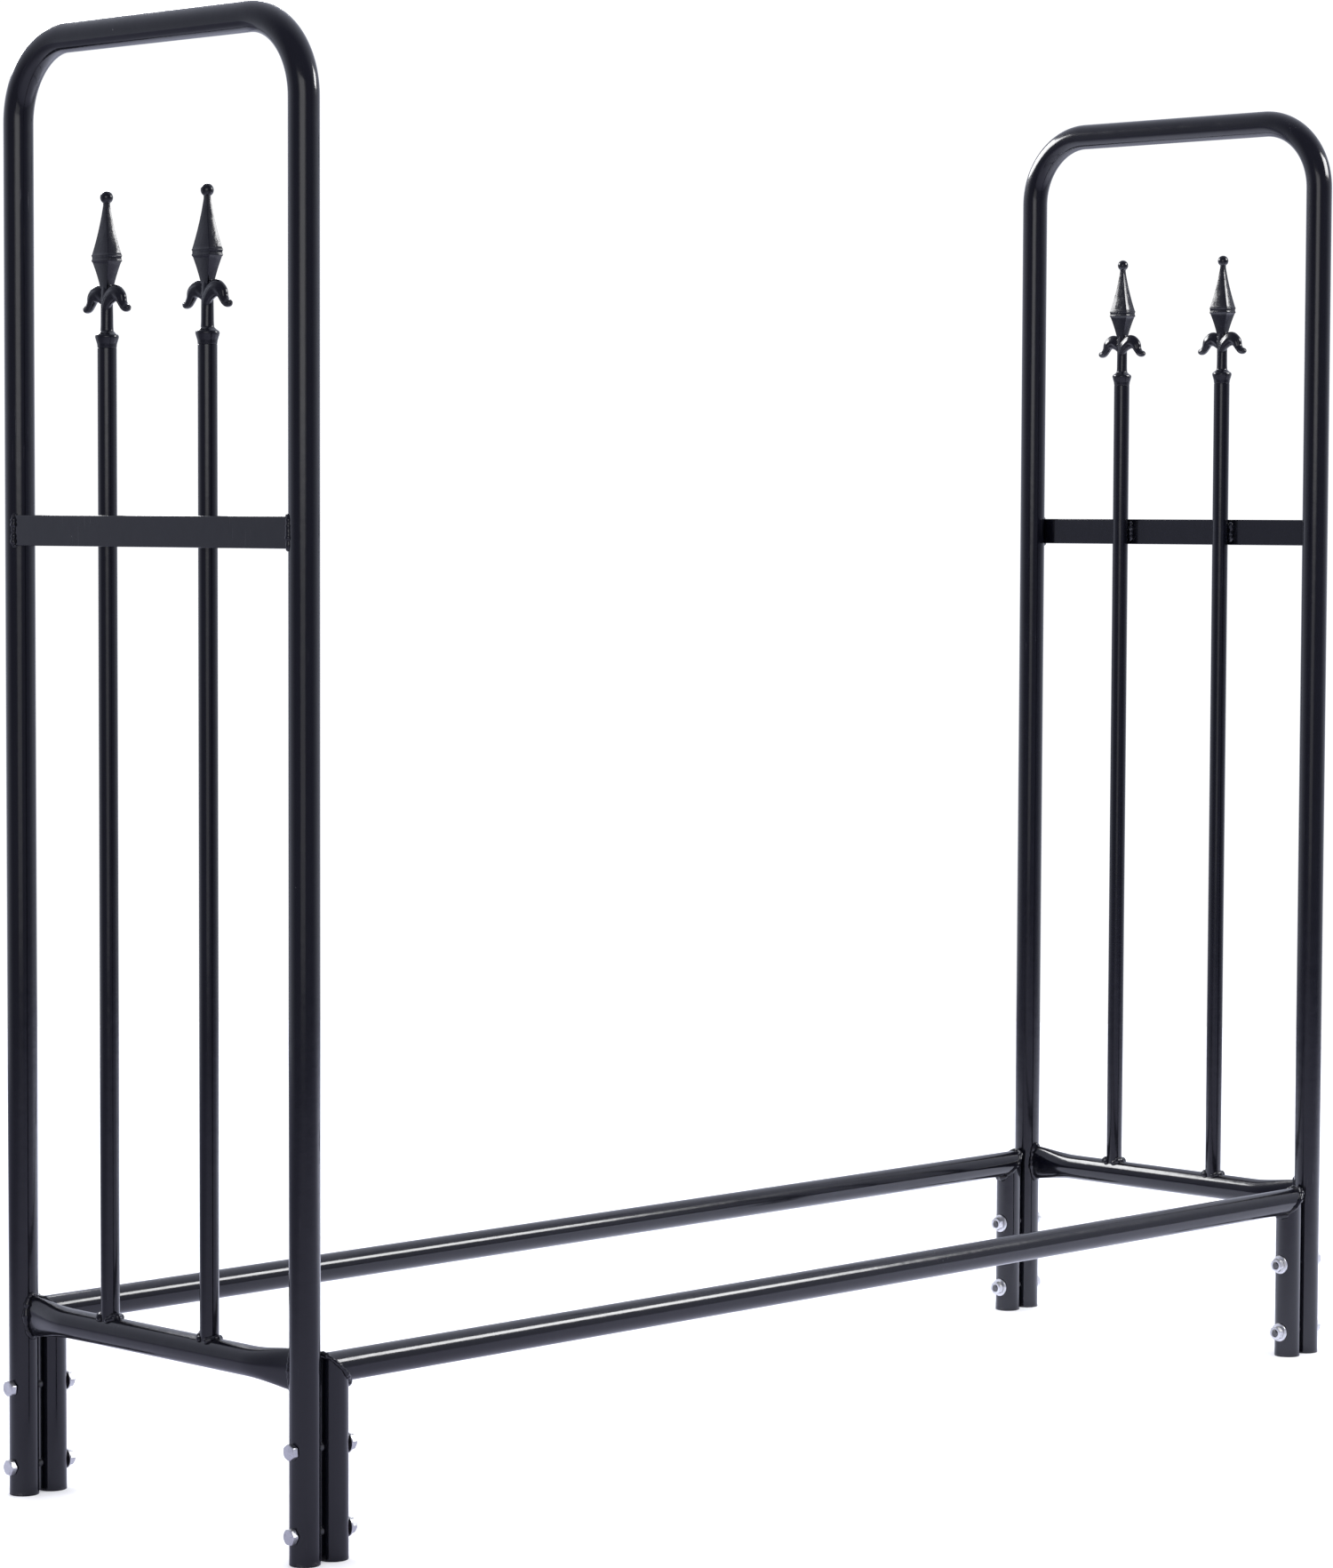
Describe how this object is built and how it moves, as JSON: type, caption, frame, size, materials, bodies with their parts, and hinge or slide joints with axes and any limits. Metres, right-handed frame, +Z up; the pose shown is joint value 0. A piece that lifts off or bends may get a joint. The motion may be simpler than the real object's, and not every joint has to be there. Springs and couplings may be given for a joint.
{
  "type": "firewood log rack",
  "caption": "Free-standing log rack: tall arched end frames of bent round tube with spear-topped rods and a flat crossbar, joined by low front and rear rails bolted beside the legs.",
  "frame": {"origin": "on the floor, midway between the four legs", "axes": "+X along the rack from the left end frame to the right, +Y from front to rear, +Z up"},
  "size_m": [1.2176, 0.351, 1.1138],
  "materials": {
    "frame_enamel": "gloss black enamel on bent steel tube and flat bar",
    "rail_enamel": "gloss black enamel on straight steel tube",
    "cast_enamel": "gloss black enamel over a slightly uneven casting",
    "zinc": "bright zinc plate"
  },
  "bodies": {
    "root": {"end_arch_left": "frame_enamel", "lower_cross_tube_left": "frame_enamel", "crossbar_left": "frame_enamel", "rod_front_left": "frame_enamel", "finial_front_left": "cast_enamel", "rail_post_front_left": "rail_enamel", "bolt_lower_front_left": "zinc", "washer_lower_front_left": "zinc", "hex_nut_lower_front_left": "zinc", "bolt_upper_front_left": "zinc", "washer_upper_front_left": "zinc", "hex_nut_upper_front_left": "zinc", "rod_rear_left": "frame_enamel", "finial_rear_left": "cast_enamel", "rail_post_rear_left": "rail_enamel", "bolt_lower_rear_left": "zinc", "washer_lower_rear_left": "zinc", "hex_nut_lower_rear_left": "zinc", "bolt_upper_rear_left": "zinc", "washer_upper_rear_left": "zinc", "hex_nut_upper_rear_left": "zinc", "end_arch_right": "frame_enamel", "lower_cross_tube_right": "frame_enamel", "crossbar_right": "frame_enamel", "rod_front_right": "frame_enamel", "finial_front_right": "cast_enamel", "rail_post_front_right": "rail_enamel", "bolt_lower_front_right": "zinc", "washer_lower_front_right": "zinc", "hex_nut_lower_front_right": "zinc", "bolt_upper_front_right": "zinc", "washer_upper_front_right": "zinc", "hex_nut_upper_front_right": "zinc", "rod_rear_right": "frame_enamel", "finial_rear_right": "cast_enamel", "rail_post_rear_right": "rail_enamel", "bolt_lower_rear_right": "zinc", "washer_lower_rear_right": "zinc", "hex_nut_lower_rear_right": "zinc", "bolt_upper_rear_right": "zinc", "washer_upper_rear_right": "zinc", "hex_nut_upper_rear_right": "zinc", "side_rail_front": "rail_enamel", "side_rail_rear": "rail_enamel"}
  },
  "joints": []
}
